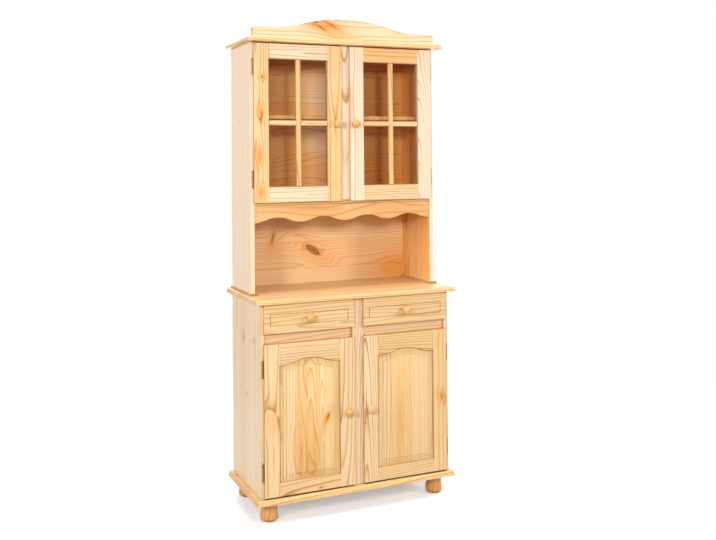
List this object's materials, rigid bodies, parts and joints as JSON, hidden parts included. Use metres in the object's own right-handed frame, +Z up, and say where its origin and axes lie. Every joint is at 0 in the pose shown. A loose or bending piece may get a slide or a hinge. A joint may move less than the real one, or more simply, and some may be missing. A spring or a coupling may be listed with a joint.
{
  "type": "credenza",
  "caption": "Free-standing pine credenza with drawers and panelled doors below, an open niche and a glazed display hutch above, a shaped crest and turned feet.",
  "frame": {"origin": "centre of the bounding box's footprint, on the floor", "axes": "+X to the right as seen from the front, +Y towards the back, +Z up"},
  "size_m": [0.848, 0.412, 1.931],
  "materials": {
    "pine_board": "clear lacquered pine",
    "pine_turned": "clear lacquered turned pine",
    "pine_inside": "bare sanded pine",
    "pine_back": "lacquered pine boards",
    "glass": "clear float glass",
    "hinge_brass": "antiqued brass plate",
    "catch_plastic": "matte moulded plastic",
    "peg_wood": "plain turned peg"
  },
  "bodies": {
    "carcass": {"apron": "pine_board", "base_back": "pine_back", "base_board": "pine_board", "base_shelf": "pine_inside", "base_side_left": "pine_board", "base_side_right": "pine_board", "base_stile": "pine_board", "carcass_hinges": "hinge_brass", "carcass_pegs": "peg_wood", "counter_top": "pine_board", "crest_board": "pine_board", "door_catches": "catch_plastic", "drawer_divider": "pine_inside", "drawer_rails": "pine_inside", "drawer_runners": "pine_inside", "foot_back_left": "pine_turned", "foot_back_right": "pine_turned", "foot_front_left": "pine_turned", "foot_front_right": "pine_turned", "hutch_back": "pine_back", "hutch_bottom": "pine_board", "hutch_foot_strips": "pine_board", "hutch_shelf": "pine_inside", "hutch_side_left": "pine_board", "hutch_side_right": "pine_board", "hutch_stile": "pine_board", "shelf_cleats": "pine_inside", "top_board": "pine_board"},
    "drawer_left": {"drawer_left_bottom": "pine_inside", "drawer_left_box": "pine_inside", "drawer_left_front": "pine_board", "drawer_left_knob": "pine_turned"},
    "drawer_right": {"drawer_right_bottom": "pine_inside", "drawer_right_box": "pine_inside", "drawer_right_front": "pine_board", "drawer_right_knob": "pine_turned"},
    "lower_door_left": {"lower_door_left_bottom_rail": "pine_board", "lower_door_left_fittings": "hinge_brass", "lower_door_left_knob": "pine_turned", "lower_door_left_panel": "pine_board", "lower_door_left_stiles": "pine_board", "lower_door_left_top_rail": "pine_board"},
    "lower_door_right": {"lower_door_right_bottom_rail": "pine_board", "lower_door_right_fittings": "hinge_brass", "lower_door_right_knob": "pine_turned", "lower_door_right_panel": "pine_board", "lower_door_right_stiles": "pine_board", "lower_door_right_top_rail": "pine_board"},
    "upper_door_left": {"upper_door_left_fittings": "hinge_brass", "upper_door_left_glass": "glass", "upper_door_left_knob": "pine_turned", "upper_door_left_muntins": "pine_board", "upper_door_left_rails": "pine_board", "upper_door_left_stiles": "pine_board"},
    "upper_door_right": {"upper_door_right_fittings": "hinge_brass", "upper_door_right_glass": "glass", "upper_door_right_knob": "pine_turned", "upper_door_right_muntins": "pine_board", "upper_door_right_rails": "pine_board", "upper_door_right_stiles": "pine_board"}
  },
  "joints": [
    {"name": "upper_door_left_hinge", "type": "hinge", "parent": "carcass", "child": "upper_door_left", "pos_m": [-0.392, -0.06, 1.5115], "axis": [0, 0, -1], "range_deg": [0, 110]},
    {"name": "lower_door_left_hinge", "type": "hinge", "parent": "carcass", "child": "lower_door_left", "pos_m": [-0.392, -0.171, 0.38675], "axis": [0, 0, -1], "range_deg": [0, 110]},
    {"name": "drawer_left_slide", "type": "slide", "parent": "carcass", "child": "drawer_left", "axis": [0, -1, 0], "range_m": [0, 0.26]},
    {"name": "upper_door_right_hinge", "type": "hinge", "parent": "carcass", "child": "upper_door_right", "pos_m": [0.392, -0.06, 1.5115], "axis": [0, 0, 1], "range_deg": [0, 110]},
    {"name": "lower_door_right_hinge", "type": "hinge", "parent": "carcass", "child": "lower_door_right", "pos_m": [0.392, -0.171, 0.38675], "axis": [0, 0, 1], "range_deg": [0, 110]},
    {"name": "drawer_right_slide", "type": "slide", "parent": "carcass", "child": "drawer_right", "axis": [0, -1, 0], "range_m": [0, 0.26]}
  ]
}
